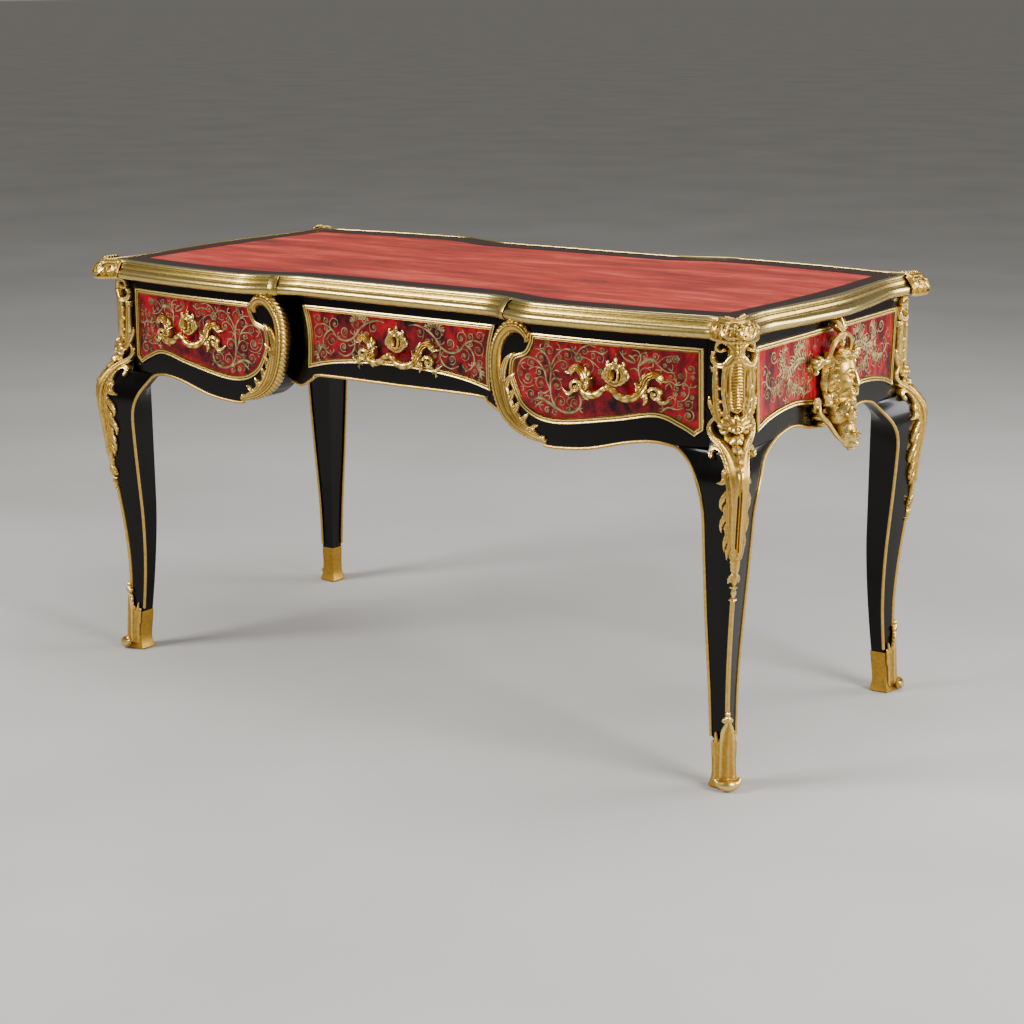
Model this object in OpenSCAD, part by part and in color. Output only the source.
// Serpentine writing desk on four cabriole legs, with three drawers in its
// front, false drawers in its back, inlaid panels and gilt bronze mounts.
// It stands on z = 0. Its width runs along x and its front faces -y.

/* [Top] */
// Height of the writing surface above the floor
desk_h = 785; // [765:1:820]
// Width of the top across the middle of its ends
top_w = 1444; // [1400:1:1540]
// Depth of the top across its recessed middle
top_d = 660; // [630:1:720]
// Thickness of the top and of its bronze edge
top_t = 34; // [32:1:40]
// How far the edge over the side drawers stands before the middle
block_proud = 35; // [28:1:42]
// How far that edge falls back again towards the corner
block_fall = 30; // [20:1:34]
// Half width of the recessed middle of the edge
recess_half = 200; // [185:1:215]
// Length of the turn from the recess out to a block
recess_turn = 130; // [110:1:150]
// How far the ends bow out
end_bow = 14; // [8:1:20]
// Radius of the rounded ear at each corner
ear_r = 27; // [26:1:32]
// Width of the bronze edge in plan
edge_w = 24; // [22:0.5:25]
// Width of the wooden band before the velvet, front and back
border_w = 54; // [45:1:65]
// Width of the wooden band beside the velvet at the ends
border_end_w = 38; // [30:1:50]
// Thickness of the velvet
velvet_t = 1.6; // [1:0.1:1.8]
// Depth of the recess that the velvet lies in
velvet_recess = 2; // [1.9:0.1:4]

/* [Frieze] */
// Overhang of the top beyond the frieze
overhang = 29; // [27:1:34]
// Half width of the recess between the two scroll mounts
scroll_x = 231; // [228:1:238]
// Drop of the apron under the side drawers, below the top
block_depth = 205; // [200:1:215]
// Drop of the apron in the recessed middle
middle_depth = 142; // [138:1:150]
// Drop of the apron in the middle of the ends
end_depth = 186; // [184:1:200]
// Black band between the top and the panel frames
band_h = 17; // [15:1:20]
// Drop of the lowest edge of the side panels
panel_depth = 167; // [162:1:170]
// Drop of the lower corners of the middle panel
middle_panel_depth = 134; // [130:1:136]
// Half width of the middle panel at its top
middle_panel_half = 217; // [212:1:218]
// Half width of an end panel
end_panel_half = 257; // [252:1:262]
// Drop of the lower corners of an end panel
end_panel_depth = 159; // [155:1:161]
// How far the ends of the frieze bow out
end_face_bow = 2; // [1:0.5:6]
// Thickness of the frieze boards where they are thinnest
board_t = 24; // [20:1:28]

/* [Legs] */
// Inner corner of a leg, measured in from the end of the top
leg_inset_end = 77; // [75:1:82]
// Inner corner of a leg, measured in from the front of the top
leg_inset_front = 60; // [58:1:66]
// Size of a leg at its knee
knee_w = 70; // [62:1:76]
// Height of the knee
knee_z = 535; // [515:1:545]
// Size of a leg at its ankle
ankle_w = 37; // [33:1:42]
// Height of the ankle
ankle_z = 175; // [165:1:190]
// Size of a leg at its foot
foot_w = 27; // [25:1:32]
// How far a leg turns out at its foot, both ways
foot_kick = 20; // [14:1:24]
// Drop of the knee blocks' upper edge below the top
ear_drop = 181; // [178:1:186]
// Reach of a knee block along the front
ear_front = 57; // [50:1:64]
// Reach of a knee block along the end
ear_end = 83; // [76:1:90]
// Cant across the corner post in the frieze
post_cant = 22; // [18:1:26]

/* [Drawers] */
// Gap round a drawer front in its opening
drawer_gap = 1; // [0.8:0.1:1.5]
// Gap between the drawer fronts and the top
drawer_top_gap = 2; // [1.5:0.1:3]
// Length of a drawer box behind its front
drawer_len = 450; // [380:1:480]
// Thickness of a drawer's sides and back
drawer_wall = 10; // [8:1:12]
// Thickness of a drawer's bottom
drawer_floor = 7; // [5:1:9]
// Running gap under and beside a drawer
run_gap = 0.4; // [0.3:0.1:0.8]
// Travel of a lock bolt
bolt_travel = 9; // [7:1:10]

/* [Bronze mounts] */
// Width of the panel frames
frame_w = 10; // [8:0.5:12]
// How far the panel frames stand proud
frame_proud = 5; // [4:0.5:6]
// Width of the fillet along aprons and legs
fillet_w = 5; // [4:0.5:6]
// How far the fillet stands proud
fillet_proud = 3; // [2:0.5:4]
// How far the scroll mounts stand proud of the blocks
scroll_proud = 15; // [12:1:17]
// Width of the scroll mounts
scroll_w = 23; // [20:1:24]
// Lowest point of a corner mount
corner_mount_z = 334; // [320:1:350]
// How far the corner mounts stand proud, as a share of their drawn relief
corner_relief = 1; // [0.8:0.05:1.1]
// Height of a sabot at the arris of its leg
sabot_h = 128; // [118:1:140]
// Span of a handle between its posts
handle_span = 132; // [120:1:140]
// How far a handle stands off its panel
handle_reach = 24; // [21:1:26]
// Height of a mask mount
mask_h = 222; // [215:1:230]
// How far a mask mount stands proud
mask_proud = 42; // [36:1:46]

/* [Fits] */
// Clearance between a mount and what it is fixed to
seat = 0.25; // [0.2:0.05:0.4]
// Thickness of the inlaid veneer
veneer_t = 1.2; // [1:0.1:1.6]

/* [Hidden] */

gilt = "#c9a24c";
ebony = "#17120f";
tortoiseshell = "#a01320";
oak = "#9a7548";
velvet = "#c4463c";
iron = "#6d6a64";

frieze_z = desk_h - top_t;
leg_x = top_w / 2 - leg_inset_end;
leg_y = top_d / 2 - leg_inset_front;
ear_z = frieze_z - ear_drop;
inner_y = top_d / 2 - overhang - board_t + 2;
block_x = recess_half + recess_turn;
corner_x = top_w / 2 - 62;
ear_c = [top_w / 2 - 30, top_d / 2 - 8];

// Curves and skins

function lerp(a, b, t) = a + (b - a) * t;
function clamp(t) = min(1, max(0, t));
function ease(t) = let (c = clamp(t)) c * c * (3 - 2 * c);
function unit(v) = v / norm(v);
function turn(v) = [-v[1], v[0]];

// Smooth curve through the points p, with n steps between two of them
function through(a, b, c, d, t) =
  0.5 * (2 * b + (c - a) * t + (2 * a - 5 * b + 4 * c - d) * t * t + (3 * b - a - 3 * c + d) * t * t * t);
function curve(p, n) = let (e = len(p) - 1)
  [for (i = [0:e - 1], k = [0:n - 1])
     through(p[max(i - 1, 0)], p[i], p[i + 1], p[min(i + 2, e)], k / n), p[e]];

// Smooth value at z, from a list of [z, value] in rising z
function span_of(k, z, i = 0) = i >= len(k) - 2 || z <= k[i + 1][0] ? i : span_of(k, z, i + 1);
function rise(k, i) = let (a = max(i - 1, 0), b = min(i + 1, len(k) - 1))
  (k[b][1] - k[a][1]) / (k[b][0] - k[a][0]);
function swell(k, z) = let (
    i = span_of(k, z), h = k[i + 1][0] - k[i][0], t = clamp((z - k[i][0]) / h),
    u = t * t * (3 - 2 * t))
  lerp(k[i][1], k[i + 1][1], u) + h * t * (1 - t) * (rise(k, i) * (1 - t) - rise(k, i + 1) * t);

// Side faces of a skin over m rings of n points each
function skin_sides(m, n) = [for (i = [0:m - 2], j = [0:n - 1])
  let (a = i * n + j, b = i * n + (j + 1) % n) each [[a, a + n, b + n], [a, b + n, b]]];

// Closed skin over rings of equally many points, with a flat cap at each end
module skin(rings) {
  n = len(rings[0]);
  m = len(rings);
  polyhedron(
    points = [for (r = rings) each r],
    faces = concat([[for (j = [0:n - 1]) j]], skin_sides(m, n), [[for (j = [n - 1:-1:0]) (m - 1) * n + j]]),
    convexity = 6);
}

// Skin over rings that run out along one side of a thin band and back along the other:
// each cap is a strip between the two sides
module band_skin(rings) {
  n = len(rings[0]);
  m = len(rings);
  e = (m - 1) * n;
  polyhedron(
    points = [for (r = rings) each r],
    faces = concat(
      [for (j = [0:n / 2 - 2]) each [[j, j + 1, n - 2 - j], [j, n - 2 - j, n - 1 - j]]],
      skin_sides(m, n),
      [for (j = [0:n / 2 - 2]) each [[e + n - 2 - j, e + j + 1, e + j], [e + n - 1 - j, e + n - 2 - j, e + j]]]),
    convexity = 6);
}

// Endless skin over rings that close on themselves
module loop_skin(rings) {
  n = len(rings[0]);
  m = len(rings);
  polyhedron(
    points = [for (r = rings) each r],
    faces = [for (i = [0:m - 1], j = [0:n - 1])
      let (k = (i + 1) % m, a = i * n + j, b = i * n + (j + 1) % n, c = k * n + (j + 1) % n, d = k * n + j)
      each [[a, c, d], [a, b, c]]],
    convexity = 8);
}

module left() { mirror([1, 0, 0]) children(); }
module back() { mirror([0, 1, 0]) children(); }
module both_sides() { children(); left() children(); }
module all_corners() { both_sides() { children(); back() children(); } }

// Solid whose front view is the child outline, from y = -d1 to y = -d0
module front_view(d0, d1) {
  translate([0, -d0, 0]) rotate([90, 0, 0]) linear_extrude(d1 - d0) children();
}
// Solid whose end view is the child outline, from x = x0 to x = x1
module end_view(x0, x1) {
  translate([x0, 0, 0]) rotate([90, 0, 90]) linear_extrude(x1 - x0) children();
}

// Plan of the top and of the frieze

function edge_y(x) = let (a = abs(x))
  top_d / 2 + block_proud * ease((a - recess_half) / recess_turn)
  - block_fall * pow(clamp((a - block_x) / (corner_x - block_x)), 2);
function edge_x(y) = top_w / 2 - end_bow * ease(abs(y) / (leg_y - 20));

function block_face(x) = let (a = max(abs(x), block_x))
  top_d / 2 + block_proud - overhang - block_fall * pow((a - block_x) / (corner_x - block_x), 2);
middle_face = top_d / 2 - overhang;
function face(x) = abs(x) < scroll_x ? middle_face : block_face(x);
function end_face(y) = top_w / 2 - overhang - end_face_bow * pow(y / leg_y, 2);

// A quarter of the top's outline, from the middle of the front to the middle of an end
quarter = concat(
  [for (x = [0, recess_half * 0.6, recess_half]) [x, -edge_y(x)]],
  [for (i = [1:6]) let (x = recess_half + recess_turn * i / 6) [x, -edge_y(x)]],
  [for (i = [1:5]) let (x = lerp(block_x, corner_x, i / 5)) [x, -edge_y(x)]],
  [for (a = [-112:22:20]) [ear_c[0], -ear_c[1]] + ear_r * [cos(a), sin(a)]],
  [for (i = [0:4]) let (y = -(leg_y + 5) * (1 - i / 4)) [edge_x(y), y]]);
quarter_end = len(quarter) - 1;
half = concat(quarter, [for (i = [quarter_end - 1:-1:0]) [quarter[i][0], -quarter[i][1]]]);
outline = concat(half, [for (i = [len(half) - 2:-1:1]) [-half[i][0], half[i][1]]]);
outline_n = len(outline);
function heading(i) = unit(outline[(i + 1) % outline_n] - outline[(i + outline_n - 1) % outline_n]);
// Point of the outline, moved inwards by u and set at height z
function edge_point(i, u, z) = let (p = outline[i] + turn(heading(i)) * u) [p[0], p[1], z];
inner_outline = [for (i = [0:outline_n - 1]) let (p = edge_point(i, edge_w + seat, 0)) [p[0], p[1]]];

velvet_half = top_w / 2 - end_bow - edge_w - border_end_w;
velvet_steps = 22;
function velvet_edge(s) = [for (i = [0:velvet_steps]) let (x = s * lerp(-velvet_half, velvet_half, i / velvet_steps))
  [x, -s * (edge_y(x) - edge_w - border_w)]];
velvet_bow = end_bow * 0.9;
velvet_outline = concat(
  velvet_edge(1), [for (y = [-120, 0, 120]) [velvet_half + velvet_bow * (1 - pow(y / 250, 2)), y]],
  velvet_edge(-1), [for (y = [120, 0, -120]) [-velvet_half - velvet_bow * (1 - pow(y / 250, 2)), y]]);

bolt_w = 24;
bolt_t = 8;
bolt_len = 35;
key_drop = 73;
middle_key_drop = 66;
side_x = lerp(scroll_x, leg_x, 0.594);
lock_y = inner_y + 3;
bolt_y = lock_y + 6;

module top_board() {
  color(ebony) difference() {
    translate([0, 0, frieze_z]) linear_extrude(top_t) polygon(inner_outline);
    translate([0, 0, desk_h - velvet_recess]) linear_extrude(velvet_recess + 1) polygon(velvet_outline);
    for (x = [-side_x, 0, side_x])
      translate([x - bolt_w / 2 - 1, -bolt_y - bolt_t / 2 - 1, frieze_z - 1])
        cube([bolt_w + 2, bolt_t + 2, bolt_travel + 3]);
  }
}

module velvet_inset() {
  color(velvet) translate([0, 0, desk_h - velvet_recess])
    linear_extrude(velvet_t) offset(delta = -seat) polygon(velvet_outline);
}

// Section of the edge: [inwards, down] from its outermost and highest lines
low = top_t;
edge_section = [[edge_w, low], [10, low], [3, low - 2.5], [0, low - 8], [0.5, low - 14],
  [5, low - 18], [10, 13], [12.5, 7], [16, 5], [17, 1.5], [20, 0], [edge_w, 0]];

module edge_moulding() {
  color(gilt) loop_skin([for (i = [0:outline_n - 1])
    [for (s = edge_section) edge_point(i, s[0], desk_h - s[1])]]);
}

// Bands that clasp the edge: they lie outside the section, from its foot over its lip
clasp_inner = [[4, low], [-0.4, low - 7], [-0.4, low - 17], [4, low - 21.5], [13, 2], [17, -0.4], [edge_w, -0.4]];
function clasp_ring(i, grow) = [for (s = concat(clasp_inner,
    [[edge_w, -1.2 - 0.1 * grow], [14, -1.2 - 0.15 * grow], [1.5, 5 - 0.6 * grow], [-1 - 0.6 * grow, low - 20],
     [-1.2 - grow, low - 11], [-0.5 - 0.8 * grow, low - 1], [2 - 0.4 * grow, low]]))
  edge_point(i, s[0], desk_h - s[1])];

module moulding_collars() {
  color(gilt) all_corners() band_skin([for (i = [4:5]) clasp_ring(i, 2)]);
}

first_clasp = 13;
module corner_clasps() {
  clasp_n = 8;
  color(gilt) all_corners()
    band_skin([for (k = [0:clasp_n]) clasp_ring(first_clasp + k, 2 + 5 * sin(180 * k / clasp_n))]);
}

// Legs

// Reach of the arris beyond the leg's inner corner
reach_keys = [[0, foot_w], [60, lerp(foot_w, ankle_w, 0.35)], [ankle_z, ankle_w],
  [lerp(ankle_z, knee_z, 0.38), lerp(ankle_w, knee_w, 0.45)],
  [lerp(ankle_z, knee_z, 0.76), lerp(ankle_w, knee_w, 0.86)], [knee_z, knee_w],
  [knee_z + 65, knee_w * 0.68], [frieze_z - 95, knee_w * 0.45], [frieze_z, knee_w * 0.43]];
function reach(z) = swell(reach_keys, z);
// How far the whole section has moved out towards the foot
function kick(z) = foot_kick * pow(clamp(1 - z / 300), 1.6);
post_y = block_face(leg_x);
post_x = end_face(leg_y);
foot_z = 12;
ear_low = ear_z - 130;
ear_t = board_t;
arris_round = 8;
function ear_part(z) = z > ear_z ? 0 : pow(clamp((z - ear_low) / (ear_z - ear_low)), 3);
function post_part(z) = ease((z - knee_z) / (frieze_z - 101 - knee_z));

function leg_edge_front(z) = let (e = ear_part(z))
  [leg_x + kick(z) - ear_front * e,
   lerp(lerp(leg_y + kick(z) + 0.85 * reach(z), post_y, post_part(z)), block_face(leg_x - ear_front), ease(e * 1.3))];
function leg_edge_end(z) = let (e = ear_part(z))
  [lerp(lerp(leg_x + kick(z) + 0.85 * reach(z), post_x, post_part(z)), end_face(leg_y - ear_end), ease(e * 1.3)),
   leg_y + kick(z) - ear_end * e];
// Three points round the arris: on the front, at the corner and on the end
function leg_arris(z) = let (
    w = post_part(z), a = [leg_x, leg_y] + [1, 1] * (kick(z) + reach(z)),
    f = leg_edge_front(z), g = leg_edge_end(z),
    c = [post_x, post_y] - [post_cant, post_cant] / 2)
  [lerp(a + unit(f - a) * arris_round, [post_x - post_cant, post_y], w),
   lerp(a - [1.5, 1.5], c + [3, 3], w),
   lerp(a + unit(g - a) * arris_round, [post_x, post_y - post_cant], w)];
function leg_ring(z) = let (
    f = leg_edge_front(z), g = leg_edge_end(z), a = leg_arris(z), t = min(ear_t, 0.5 * reach(z)))
  [for (p = [[leg_x, leg_y] + [1, 1] * kick(z), f + [0.4, -t], f, a[0], a[1], a[2], g, g + [-t, 0.4]])
    [p[0], -p[1], z]];
leg_levels = concat(
  [foot_z, 40, 70, 105, 140], [for (i = [0:7]) lerp(ankle_z, ear_low, i / 7)],
  [for (i = [1:6]) lerp(ear_low, ear_z, i / 6)], [ear_z + 0.5],
  [for (i = [1:5]) lerp(ear_z, frieze_z, i / 6)], [frieze_z]);

module leg() { color(ebony) skin([for (z = leg_levels) leg_ring(z)]); }
module leg_front_right() { leg(); }
module leg_front_left() { left() leg(); }
module leg_back_right() { back() leg(); }
module leg_back_left() { left() back() leg(); }

// Outlines of the frieze, as [x, z] on the right half

function across(t) = lerp(scroll_x, leg_x, t);
function block_point(t, s) = [across(t), frieze_z - block_depth * s];
function panel_point(t, s) = [across(t), frieze_z - band_h - s * (panel_depth - band_h)];
function middle_point(t, s) =
  [middle_panel_half * t, frieze_z - band_h - s * (middle_panel_depth - band_h)];
function end_point(t, s) = [end_panel_half * t, frieze_z - band_h - s * (end_panel_depth - band_h)];

ear_tip = [leg_x - ear_front, ear_z];
scroll_edge = curve([block_point(0.065, 0), block_point(0.029, 0.102), block_point(0.007, 0.25),
  block_point(0, 0.41), block_point(0.003, 0.54), block_point(0.032, 0.715), block_point(0.085, 0.855),
  block_point(0.156, 0.945), block_point(0.24, 0.987)], 3);
block_hem = curve([block_point(0.24, 0.987), block_point(0.312, 1), block_point(0.469, 0.971),
  block_point(0.65, 0.883), block_point(0.77, 0.855), ear_tip], 3);
block_outline = concat(scroll_edge, [for (i = [1:len(block_hem) - 1]) block_hem[i]],
  [ear_tip + [0, 0.7], [leg_x, ear_z + 0.7], [leg_x, frieze_z]]);
middle_hem = curve([[0, frieze_z - middle_depth], [across(-0.13), frieze_z - middle_depth],
  [across(-0.075), frieze_z - middle_depth - 9], [across(-0.015), frieze_z - middle_depth - 22],
  [across(0.03), frieze_z - middle_depth - 18], [across(0.09), frieze_z - middle_depth - 12]], 3);

panel_outline = concat(
  [panel_point(0.196, 0)],
  curve([panel_point(0.193, 0.093), panel_point(0.167, 0.213), panel_point(0.111, 0.28),
    panel_point(0.094, 0.393), panel_point(0.099, 0.593), panel_point(0.167, 0.88),
    panel_point(0.312, 1), panel_point(0.589, 0.893), panel_point(0.77, 0.8),
    panel_point(0.87, 0.88), panel_point(0.935, 0.973)], 4),
  [panel_point(0.972, 0.893), panel_point(0.966, 0)]);
function raise_top(o, x0, x1) = concat([[x0, frieze_z - drawer_top_gap]],
  [for (i = [1:len(o) - 2]) o[i]], [[x1, frieze_z - drawer_top_gap]]);
front_outline = raise_top(panel_outline, across(0.196), across(0.976));
middle_half_panel = concat(
  curve([middle_point(1, 0), middle_point(0.96, 0.25), middle_point(0.94, 0.55), middle_point(0.95, 1)], 3),
  [for (i = [1:9]) let (p = curve([middle_point(0.95, 1), middle_point(0.69, 0.89), middle_point(0.34, 0.82),
     middle_point(0, 0.8)], 3)) p[i]]);
function whole(h) = concat(h, [for (i = [len(h) - 2:-1:0]) [-h[i][0], h[i][1]]]);
middle_panel_outline = whole(middle_half_panel);
middle_front_outline = concat([[middle_panel_half + 1, frieze_z - drawer_top_gap]], middle_panel_outline,
  [[-middle_panel_half - 1, frieze_z - drawer_top_gap]]);
end_half_panel = concat([end_point(1, 0), end_point(0.985, 0.5)],
  curve([end_point(0.965, 1), end_point(0.837, 0.915), end_point(0.67, 0.859), end_point(0.506, 0.838),
    end_point(0.405, 0.848), end_point(0.218, 0.887), end_point(0, 0.944)], 2));
end_panel_outline = whole(end_half_panel);
end_hem = curve([[0, frieze_z - end_depth], [leg_y * 0.24, frieze_z - end_depth + 7],
  [leg_y * 0.385, frieze_z - end_depth + 16.5], [leg_y * 0.5, frieze_z - end_depth + 18.5],
  [leg_y * 0.63, frieze_z - end_depth + 12], [leg_y - ear_end, ear_z]], 3);
end_outline = whole(concat([[leg_y, frieze_z], [leg_y, ear_z + 0.7], [leg_y - ear_end, ear_z + 0.7]],
  [for (i = [len(end_hem) - 1:-1:0]) end_hem[i]]));

// Depth bands behind, on and before the curved face of a block, the middle and an end
face_steps = 24;
function face_line(d) = [for (i = [0:face_steps]) let (x = i == 0 ? scroll_x - 10
  : lerp(block_x, leg_x, (i - 1) / (face_steps - 1))) [x, -block_face(x) - d]];
module block_band(d0, d1, deep = 0) {
  far = deep > 0 ? [[leg_x, -deep], [scroll_x - 10, -deep]]
    : [for (i = [face_steps:-1:0]) face_line(d0)[i]];
  translate([0, 0, frieze_z - 300]) linear_extrude(300 + top_t) polygon(concat(face_line(d1), far));
}
module middle_band(d0, d1) {
  translate([-leg_x / 2, -middle_face - d1, frieze_z - 300]) cube([leg_x, d1 - d0, 300 + top_t]);
}
end_steps = 12;
function end_line(d) = [for (i = [0:end_steps]) let (y = lerp(-leg_y, leg_y, i / end_steps)) [end_face(y) + d, y]];
end_inner = post_x - board_t;
module end_band(d0, d1, deep = 0) {
  far = deep > 0 ? [[deep, leg_y], [deep, -leg_y]] : [for (i = [end_steps:-1:0]) end_line(d0)[i]];
  translate([0, 0, frieze_z - 300]) linear_extrude(300 + top_t) polygon(concat(end_line(d1), far));
}

module half_apron() {
  intersection() {
    block_band(0, 0, inner_y);
    front_view(0, top_d) polygon(block_outline);
  }
  front_view(inner_y, middle_face)
    polygon(concat(middle_hem, [[across(0.09), frieze_z], [0, frieze_z]]));
}

module front_apron() {
  color(ebony) difference() {
    both_sides() half_apron();
    both_sides() front_view(0, top_d) offset(delta = drawer_gap) polygon(front_outline);
    front_view(0, top_d) offset(delta = drawer_gap) polygon(middle_front_outline);
    both_sides() front_view(0, top_d) translate([across(0.196) - drawer_gap, frieze_z - 10])
      square([across(0.976) - across(0.196) + 2 * drawer_gap, 20]);
    front_view(0, top_d) translate([-middle_panel_half - 1 - drawer_gap, frieze_z - 10])
      square([2 * (middle_panel_half + 1 + drawer_gap), 20]);
  }
}
module back_apron() { color(ebony) back() both_sides() half_apron(); }

module end_rail() {
  color(ebony) intersection() {
    end_band(0, 0, end_inner);
    end_view(0, top_w) polygon(end_outline);
  }
}
module end_rail_right() { end_rail(); }
module end_rail_left() { left() end_rail(); }

// Panels, frames and fillets

module ring_view(outline_points, inset) {
  difference() {
    offset(delta = -inset) polygon(outline_points);
    offset(delta = inset - frame_w) polygon(outline_points);
  }
}
module frame_on_block() {
  intersection() {
    block_band(0, frame_proud);
    front_view(0, top_d) ring_view(panel_outline, 0);
  }
}
module frame_on_middle() { front_view(middle_face, middle_face + frame_proud) ring_view(middle_panel_outline, 0); }
module veneer_on_block() {
  intersection() {
    block_band(0, veneer_t);
    front_view(0, top_d) offset(delta = -frame_w - seat) polygon(panel_outline);
  }
}
module veneer_on_middle() {
  front_view(middle_face, middle_face + veneer_t) offset(delta = -frame_w - seat) polygon(middle_panel_outline);
}

module panel_frame_right() { color(gilt) frame_on_block(); }
module panel_frame_left() { color(gilt) left() frame_on_block(); }
module panel_frame_middle() { color(gilt) frame_on_middle(); }
module panel_frames_back() {
  color(gilt) back() {
    both_sides() frame_on_block();
    frame_on_middle();
  }
}
module panel_frames_ends() {
  color(gilt) both_sides() intersection() {
    end_band(0, frame_proud);
    end_view(0, top_w) ring_view(end_panel_outline, 0);
  }
}
module keyhole_cut(h) {
  linear_extrude(h) {
    circle(r = 3, $fn = 32);
    translate([-1.4, -9]) square([2.8, 9]);
  }
}
module keyhole(x, drop) {
  translate([x, 0, frieze_z - drop]) rotate([90, 0, 0]) keyhole_cut(top_d);
}
module marquetry_right() {
  color(tortoiseshell) difference() {
    veneer_on_block();
    keyhole(side_x, key_drop);
  }
}
module marquetry_left() { left() marquetry_right(); }
module marquetry_middle() {
  color(tortoiseshell) difference() {
    veneer_on_middle();
    keyhole(0, middle_key_drop);
  }
}
module marquetry_back() {
  color(tortoiseshell) back() {
    both_sides() veneer_on_block();
    veneer_on_middle();
  }
}
module marquetry_ends() {
  color(tortoiseshell) both_sides() intersection() {
    end_band(0, veneer_t);
    end_view(0, top_w) offset(delta = -frame_w - seat) polygon(end_panel_outline);
  }
}

// A fillet lies just under the edge of the wood and stands proud of its face.
// Each route point is [place on the view, height, depth of the face].
fillet_back = 6;
function fillet_ring(r, i) = let (
    e = len(r) - 1, a = r[max(i - 1, 0)], b = r[min(i + 1, e)],
    t = unit([b[0] - a[0], b[1] - a[1]]), n = [t[1], -t[0]], p = [r[i][0], r[i][1]],
    p0 = p + n * 2 * seat, p1 = p + n * (2 * seat + fillet_w), f = r[i][2])
  [[p0, f - fillet_back], [p0, f + fillet_proud], [p1, f + fillet_proud * 0.6], [p1, f - fillet_back]];
leg_fillet_levels = concat([for (i = [5:-1:0]) lerp(ear_low, ear_z, i / 6)],
  [for (i = [1:5]) lerp(ear_low, sabot_h + 14, i / 5)]);
block_route = concat([for (p = block_hem) if (p[0] > across(0.345)) [p[0], p[1], block_face(p[0])]],
  [for (z = leg_fillet_levels) let (f = leg_edge_front(z)) [f[0], z, f[1]]]);
middle_route = [for (i = [0:11]) let (p = middle_hem[i]) [p[0], p[1], middle_face]];
end_route = concat([for (p = end_hem) [p[0], p[1], end_face(p[0])]],
  [for (z = leg_fillet_levels) let (g = leg_edge_end(z)) [g[1], z, g[0]]]);

module front_fillet(r) {
  skin([for (i = [0:len(r) - 1]) [for (q = fillet_ring(r, i)) [q[0][0], -q[1], q[0][1]]]]);
}
module front_fillets() {
  both_sides() {
    front_fillet(block_route);
    front_fillet(middle_route);
  }
}
module fillets_front() { color(gilt) front_fillets(); }
module fillets_back() { color(gilt) back() front_fillets(); }
module fillets_ends() {
  color(gilt) all_corners()
    skin([for (i = [len(end_route) - 1:-1:0]) [for (q = fillet_ring(end_route, i)) [q[1], -q[0][0], q[0][1]]]]);
}

// Corner mounts: a shield over the arris, from the volute under the top to the last bud

mount_keys_w = [[corner_mount_z, 2.5], [corner_mount_z + 45, 9], [corner_mount_z + 105, 20], [frieze_z - 245, 27],
  [frieze_z - 205, 30], [frieze_z - 178, 20], [frieze_z - 155, 13], [frieze_z - 128, 15],
  [frieze_z - 60, 13], [frieze_z - 32, 11], [frieze_z - 14, 15], [frieze_z - 4, 12]];
mount_keys_t = [[corner_mount_z, 3], [corner_mount_z + 45, 7], [corner_mount_z + 105, 10], [frieze_z - 245, 13],
  [frieze_z - 205, 15], [frieze_z - 165, 13], [frieze_z - 128, 20], [frieze_z - 100, 14],
  [frieze_z - 45, 13], [frieze_z - 30, 12], [frieze_z - 14, 19], [frieze_z - 4, 10]];
function outward(a, b) = unit([b[1] - a[1], a[0] - b[0]]);
// Space left behind a mount where the leg's section turns into the canted post
function mount_gap(z) = seat + 2.4 * ease((z - ear_z + 62) / 30) * ease((ear_z + 78 - z) / 20);
function shield_ring(z, w, t) = let (
    f = leg_edge_front(z), g = leg_edge_end(z), a = leg_arris(z),
    df = unit(f - a[0]), dg = unit(g - a[2]),
    nf = -turn(df), ng = turn(dg), nd = unit([1, 1]),
    p = a[0] + df * w, q = a[2] + dg * w, gap = mount_gap(z))
  [for (v = [p + nf * gap, p + nf * t * 0.35, lerp(a[0], p, 0.45) + nf * t * 0.8, a[0] + (nf + nd) * t * 0.5,
      a[1] + nd * t * 1.15, a[2] + (ng + nd) * t * 0.5, lerp(a[2], q, 0.45) + ng * t * 0.8, q + ng * t * 0.35,
      q + ng * gap, a[2] + (ng + nd) * gap, a[1] + nd * gap * 2, a[0] + (nf + nd) * gap])
    [v[0], -v[1], z]];
mount_levels = concat([corner_mount_z],
  [for (z = leg_levels) if (z > corner_mount_z + 8 && z < ear_z + 0.2) z],
  [for (d = [165, 150.8, 138, 128, 114, 90.5, 60.3, 42, 30, 20, 12, 4]) frieze_z - d]);

module corner_mount() {
  color(gilt) skin([for (z = mount_levels)
    shield_ring(z, swell(mount_keys_w, z), corner_relief * swell(mount_keys_t, z))]);
}
module corner_mount_front_right() { corner_mount(); }
module corner_mount_front_left() { left() corner_mount(); }
module corner_mount_back_right() { back() corner_mount(); }
module corner_mount_back_left() { left() back() corner_mount(); }

function arris_ring(z, t) = let (
    a = leg_arris(z), n = unit([1, 1]), nf = [0, 1], ng = [1, 0])
  [for (v = [a[0] + (nf + n) * t * 0.6, a[1] + n * t * 1.2, a[2] + (ng + n) * t * 0.6,
      a[2] + (ng + n) * seat, a[1] + n * seat * 2, a[0] + (nf + n) * seat])
    [v[0], -v[1], z]];
strip_levels = concat([sabot_h + 1], [for (z = leg_levels) if (z > sabot_h + 4 && z < corner_mount_z - 4) z],
  [corner_mount_z - seat]);
module arris_strips() {
  color(gilt) all_corners()
    skin([for (z = strip_levels) arris_ring(z, 2.5)]);
}

// Sabots: a cup round the foot with a tall leaf up each face and a scrolled toe

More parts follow.
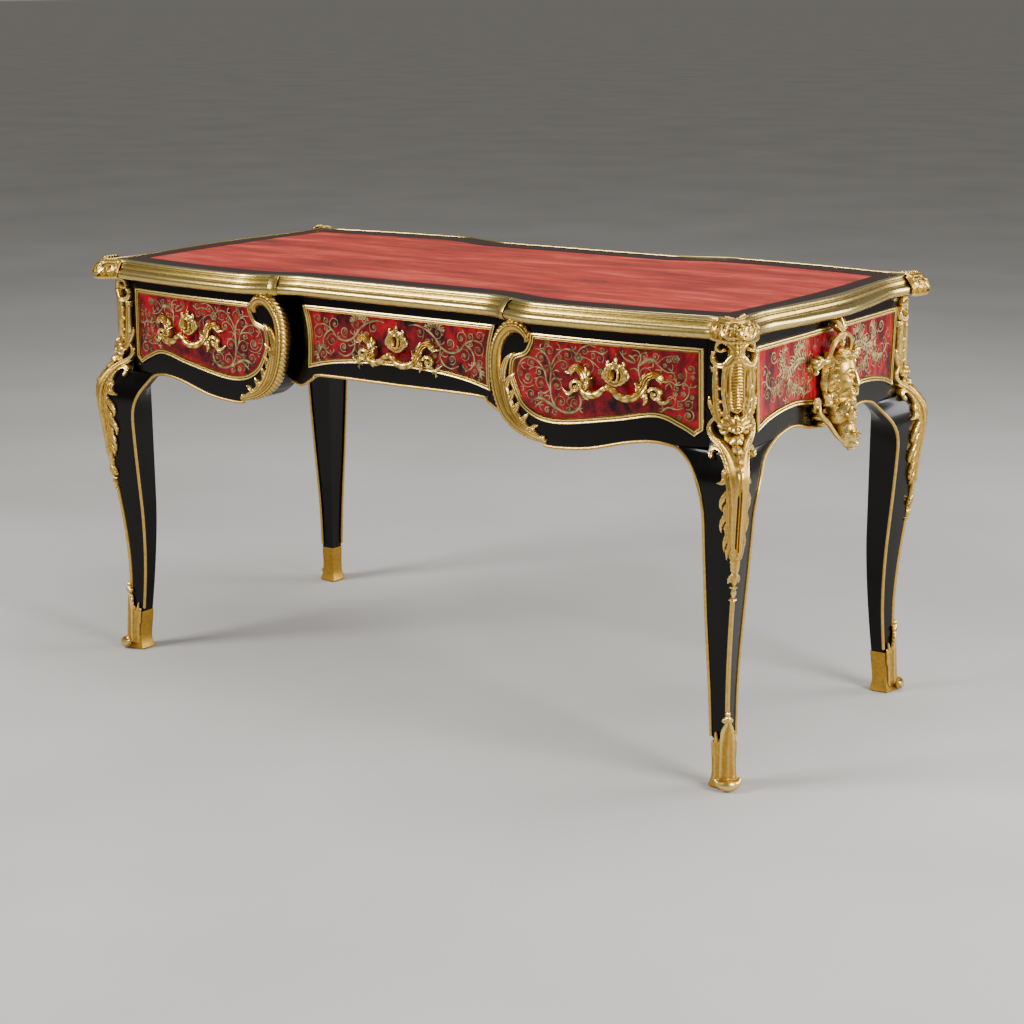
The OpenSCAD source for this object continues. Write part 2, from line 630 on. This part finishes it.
sabot_wall = 4;
toe_reach = 12;
toe_r = 14;
sabot_rim = [44, 58, sabot_h - 32, sabot_h - 40, sabot_h, sabot_h - 40, sabot_h - 32, 58];
function sabot_ring(k, out) = [for (j = [0:7]) let (
    z = max(k * sabot_rim[j], out ? 0 : foot_z), p = leg_ring(max(z, foot_z))[j],
    c = [leg_x, -leg_y] + [1, -1] * (kick(z) + reach(z) / 2), d = unit([p[0], p[1]] - c),
    toe = j > 2 && j < 6 ? (j == 4 ? 1 : 0.45) * toe_reach * pow(clamp(1 - z / 58), 2) : 0,
    q = [p[0], p[1]] + d * (out ? sabot_wall + (k < 0.3 ? 3 * (1 - k / 0.3) : 0) : seat) + unit([1, -1]) * (out ? toe : 0))
  [q[0], q[1], z]];

module sabot() {
  skin(concat([for (k = [0, 0.06, 0.13, 0.22, 0.33, 0.5, 0.75, 0.94]) sabot_ring(k, true)],
    [for (k = [0.96, 0.5, 0.2, 0]) sabot_ring(k, false)]));
  toe = foot_kick + foot_w + 8;
  translate([leg_x + toe, -leg_y - toe, toe_r]) rotate([90, 0, 45])
    cylinder(r = toe_r, h = 20, center = true, $fn = 32);
}
module sabots() { color(gilt) all_corners() sabot(); }

// Scroll mounts: a bold C along the edge where a block steps out from the middle

scroll_path = curve([block_point(0.142, 0.215), block_point(0.155, 0.135), block_point(0.13, 0.088),
  block_point(0.088, 0.08), block_point(0.05, 0.125), block_point(0.018, 0.25), block_point(0.008, 0.41),
  block_point(0.011, 0.54), block_point(0.038, 0.705), block_point(0.09, 0.842), block_point(0.16, 0.93),
  block_point(0.24, 0.972), block_point(0.32, 0.985)], 2);
scroll_n = len(scroll_path) - 1;
function scroll_ring(i) = let (
    a = scroll_path[max(i - 1, 0)], b = scroll_path[min(i + 1, scroll_n)], n = turn(unit(b - a)), p = scroll_path[i],
    s = i / scroll_n, w = scroll_w * (0.3 + 0.7 * pow(sin(180 * clamp(s * 0.9 + 0.06)), 0.6)),
    wo = w * 0.4, wi = w * 0.6, fo = block_face(p[0]) + seat, h = scroll_proud * (0.35 + 0.65 * w / scroll_w))
  [for (q = [[wi, fo], [-wo, fo], [-wo, fo + h * 0.3], [-wo * 0.4, fo + h * 0.95], [wi * 0.5, fo + h],
      [wi, fo + h * 0.35]])
    let (v = p + n * q[0]) [v[0], -q[1], v[1]]];
module scroll_mount() { skin([for (i = [scroll_n:-1:0]) scroll_ring(i)]); }
module scroll_mounts_front() { color(gilt) both_sides() scroll_mount(); }
module scroll_mounts_back() { color(gilt) back() both_sides() scroll_mount(); }

// Mask mounts: a bearded head under a crest, with a shell and husks round it

mask_low = frieze_z - 2 - mask_h;
mask_half_keys = [[0, 10], [0.05, 27], [0.12, 42], [0.22, 64], [0.28, 76], [0.36, 80], [0.46, 68], [0.54, 70],
  [0.6, 84], [0.66, 84], [0.71, 58], [0.78, 50], [0.86, 42], [0.93, 28], [1, 18]];
function bump(y, s, y0, s0, wy, ws) = exp(-pow((y - y0) / wy, 2) - pow((s - s0) / ws, 2));
function mask_relief(y, s) = 0.5 + 0.35 * bump(y, s, 0, 0.6, 40, 0.16)
  + 0.25 * bump(y, s, 0, 0.57, 8, 0.05) - 0.2 * bump(abs(y), s, 15, 0.62, 9, 0.03)
  + 0.12 * bump(y, s, 0, 0.69, 30, 0.03) + 0.2 * bump(y, s, 0, 0.42, 26, 0.08)
  + 0.75 * bump(abs(y), s, 60, 0.33, 20, 0.09) + 0.45 * bump(y, s, 0, 0.06, 34, 0.13);
mask_cols = 10;
mask_rows = 22;
mask_back = end_face(0) + frame_proud + seat;
function mask_ring(i) = let (s = i / mask_rows, w = swell(mask_half_keys, s), z = mask_low + s * mask_h)
  concat([for (j = [0:mask_cols]) let (u = -1 + 2 * j / mask_cols, y = u * w)
    [mask_back + 2 + mask_proud * mask_relief(y, s) * pow(1 - 0.96 * u * u, 0.5), y, z]],
    [[mask_back, w, z], [mask_back, -w, z]]);
module mask_mount() { color(gilt) skin([for (i = [0:mask_rows]) mask_ring(i)]); }
module mask_mount_right() { mask_mount(); }
module mask_mount_left() { left() mask_mount(); }

// Handles and escutcheons

handle_drop = 95;
function panel_top(x) = face(x) + veneer_t + seat;
function slant(x) = atan((block_face(x + 5) - block_face(x - 5)) / 10);
module on_panel(x, drop) {
  translate([x, -panel_top(x), frieze_z - drop]) rotate([0, 0, abs(x) < scroll_x ? 0 : -slant(x)]) rotate([90, 0, 0])
    children();
}
handle_half = [[handle_span * 0.5, 16, 3], [handle_span * 0.47, 4, handle_reach * 0.55],
  [handle_span * 0.4, -8, handle_reach * 0.85], [handle_span * 0.27, -15, handle_reach],
  [handle_span * 0.14, -12, handle_reach], [handle_span * 0.05, 0, handle_reach]];
handle_points = curve(concat([for (p = handle_half) [-p[0], p[1], p[2]]], [[0, 4, handle_reach]],
  [for (i = [5:-1:0]) handle_half[i]]), 2);
handle_n = len(handle_points) - 1;
function handle_at(x0, drop, i) = let (p = handle_points[i], x = x0 + p[0])
  [x, -panel_top(x) - p[2], frieze_z - drop + p[1]];
function handle_r(i) = let (s = abs(1 - 2 * i / handle_n)) 3.2 + 2.4 * pow(sin(180 * s), 2);
function handle_ring(x0, drop, i) = let (
    t = unit(handle_at(x0, drop, min(i + 1, handle_n)) - handle_at(x0, drop, max(i - 1, 0))),
    u = unit(cross(t, [0, 1, 0])), v = cross(t, u), c = handle_at(x0, drop, i), r = handle_r(i))
  [for (k = [0:5]) c + r * (u * cos(k * 60) + v * sin(k * 60))];
spray = curve([[-8, -22], [2, -14], [8, -4], [20, -9], [31, -18], [28, -7], [18, 3], [26, 8], [38, 2], [34, 14],
  [20, 18], [10, 24], [-2, 30], [2, 18], [-6, 8], [-10, -8], [-8, -22]], 2);
module handle(x0, drop) {
  color(gilt) {
    skin([for (i = [0:handle_n]) handle_ring(x0, drop, i)]);
    for (s = [-1, 1]) on_panel(x0 + s * handle_span / 2, drop)
      linear_extrude(5) scale([s, 1]) translate([4, 12]) polygon([for (i = [0:len(spray) - 2]) spray[i]]);
  }
}

cartouche_half = [[0, 36], [3.5, 26], [9, 20], [19, 15], [21, 7], [24.5, 1], [20, -5], [21, -13], [13, -17],
  [9, -24], [0, -26]];
module escutcheon(x, drop) {
  color(gilt) on_panel(x, drop) difference() {
    union() {
      linear_extrude(3.5) polygon(whole(curve(cartouche_half, 2)));
      scale([1, 1.6, 1]) cylinder(r = 10, h = 6.5, $fn = 48);
    }
    translate([0, 0, 4.5]) scale([1, 1.6, 1]) cylinder(r = 7, h = 9, $fn = 48);
    translate([0, 0, -2]) keyhole_cut(12);
  }
}
middle_handle_drop = 92;
module handle_right() { handle(side_x, handle_drop); }
module handle_left() { left() handle(side_x, handle_drop); }
module handle_middle() { handle(0, middle_handle_drop); }
module handles_back() {
  back() {
    both_sides() handle(side_x, handle_drop);
    handle(0, middle_handle_drop);
  }
}
module escutcheon_right() { escutcheon(side_x, key_drop); }
module escutcheon_left() { left() escutcheon(side_x, key_drop); }
module escutcheon_middle() { escutcheon(0, middle_key_drop); }
module escutcheons_back() {
  back() {
    both_sides() escutcheon(side_x, key_drop);
    escutcheon(0, middle_key_drop);
  }
}

// Drawers and locks

box_x0 = across(0.21);
box_x1 = across(0.965);
box_z0 = frieze_z - 131;
box_z1 = frieze_z - 10;
middle_box_x = middle_panel_half - 20;
middle_box_z0 = frieze_z - 106;
drawer_back_y = inner_y + 2;
lock_w = 60;
lock_h = 84;
lock_t = 12;
lock_top = frieze_z - drawer_top_gap - 1;

// Pocket for a lock in the back of a drawer front, with its keyhole
module lock_cut(x, drop) {
  translate([x - lock_w / 2 - 0.2, -lock_y - lock_t - 0.2, lock_top - lock_h - 0.2])
    cube([lock_w + 0.4, lock_t + 30, lock_h + 20]);
  keyhole(x, drop);
}
module side_front() {
  color(ebony) difference() {
    intersection() {
      block_band(0, 0, drawer_back_y);
      front_view(0, top_d) polygon(front_outline);
    }
    lock_cut(side_x, key_drop);
  }
}
module drawer_front_right() { side_front(); }
module drawer_front_left() { left() side_front(); }
module drawer_front_middle() {
  color(ebony) difference() {
    front_view(drawer_back_y, middle_face) polygon(middle_front_outline);
    lock_cut(0, middle_key_drop);
  }
}

module drawer_box(x0, x1, z0) {
  color(oak) translate([x0, -drawer_back_y, z0]) difference() {
    cube([x1 - x0, drawer_len, box_z1 - z0]);
    translate([drawer_wall, -1, drawer_floor])
      cube([x1 - x0 - 2 * drawer_wall, drawer_len - drawer_wall + 1, box_z1 - z0]);
  }
}
module drawer_box_right() { drawer_box(box_x0, box_x1, box_z0); }
module drawer_box_left() { left() drawer_box_right(); }
module drawer_box_middle() { drawer_box(-middle_box_x, middle_box_x, middle_box_z0); }

module lock(x, drop) {
  color(iron) difference() {
    translate([x - lock_w / 2, -lock_y - lock_t, lock_top - lock_h]) cube([lock_w, lock_t, lock_h]);
    translate([x - bolt_w / 2 - 0.4, -bolt_y - bolt_t / 2 - 0.4, lock_top - bolt_len - 1])
      cube([bolt_w + 0.8, bolt_t + 0.8, bolt_len + 5]);
    keyhole(x, drop);
  }
}
module lock_bolt(x) {
  color(iron) translate([x - bolt_w / 2, -bolt_y - bolt_t / 2, lock_top - bolt_len - 0.5])
    cube([bolt_w, bolt_t, bolt_len]);
}
module lock_right() { lock(side_x, key_drop); }
module lock_left() { left() lock(side_x, key_drop); }
module lock_middle() { lock(0, middle_key_drop); }
module lock_bolt_right() { lock_bolt(side_x); }
module lock_bolt_left() { left() lock_bolt(side_x); }
module lock_bolt_middle() { lock_bolt(0); }

divider_x = across(0.075);
divider_t = 18;
divider_z = box_z0 - 30;
module drawer_dividers() {
  color(oak) both_sides()
    translate([divider_x - divider_t / 2, -inner_y, divider_z]) cube([divider_t, 2 * inner_y, frieze_z - divider_z]);
}

runner_h = 38;
runner_reach = 22;
guide_h = 16;
// Runner under one edge of a drawer box, with a guide beside it
module runner(x_wall, x_box, z0) {
  s = x_box > x_wall ? 1 : -1;
  front_view(-inner_y, inner_y) polygon([[x_wall, z0 - run_gap - runner_h],
    [x_box + s * runner_reach, z0 - run_gap - runner_h], [x_box + s * runner_reach, z0 - run_gap], [x_box - s * 2 * run_gap, z0 - run_gap],
    [x_box - s * 2 * run_gap, z0 + guide_h], [x_wall, z0 + guide_h]]);
}
module drawer_runners() {
  color(oak) both_sides() {
    runner(divider_x + divider_t / 2, box_x0, box_z0);
    runner(leg_x - seat, box_x1, box_z0);
    runner(divider_x - divider_t / 2, middle_box_x, middle_box_z0);
  }
}

top_board();
velvet_inset();
edge_moulding();
moulding_collars();
corner_clasps();
leg_front_left();
leg_front_right();
leg_back_left();
leg_back_right();
front_apron();
back_apron();
end_rail_left();
end_rail_right();
drawer_dividers();
drawer_runners();
marquetry_ends();
panel_frames_ends();
marquetry_back();
panel_frames_back();
handles_back();
escutcheons_back();
fillets_front();
fillets_back();
fillets_ends();
corner_mount_front_left();
corner_mount_front_right();
corner_mount_back_left();
corner_mount_back_right();
arris_strips();
sabots();
scroll_mounts_front();
scroll_mounts_back();
mask_mount_left();
mask_mount_right();
drawer_front_left();
drawer_box_left();
marquetry_left();
panel_frame_left();
handle_left();
escutcheon_left();
lock_left();
lock_bolt_left();
drawer_front_middle();
drawer_box_middle();
marquetry_middle();
panel_frame_middle();
handle_middle();
escutcheon_middle();
lock_middle();
lock_bolt_middle();
drawer_front_right();
drawer_box_right();
marquetry_right();
panel_frame_right();
handle_right();
escutcheon_right();
lock_right();
lock_bolt_right();
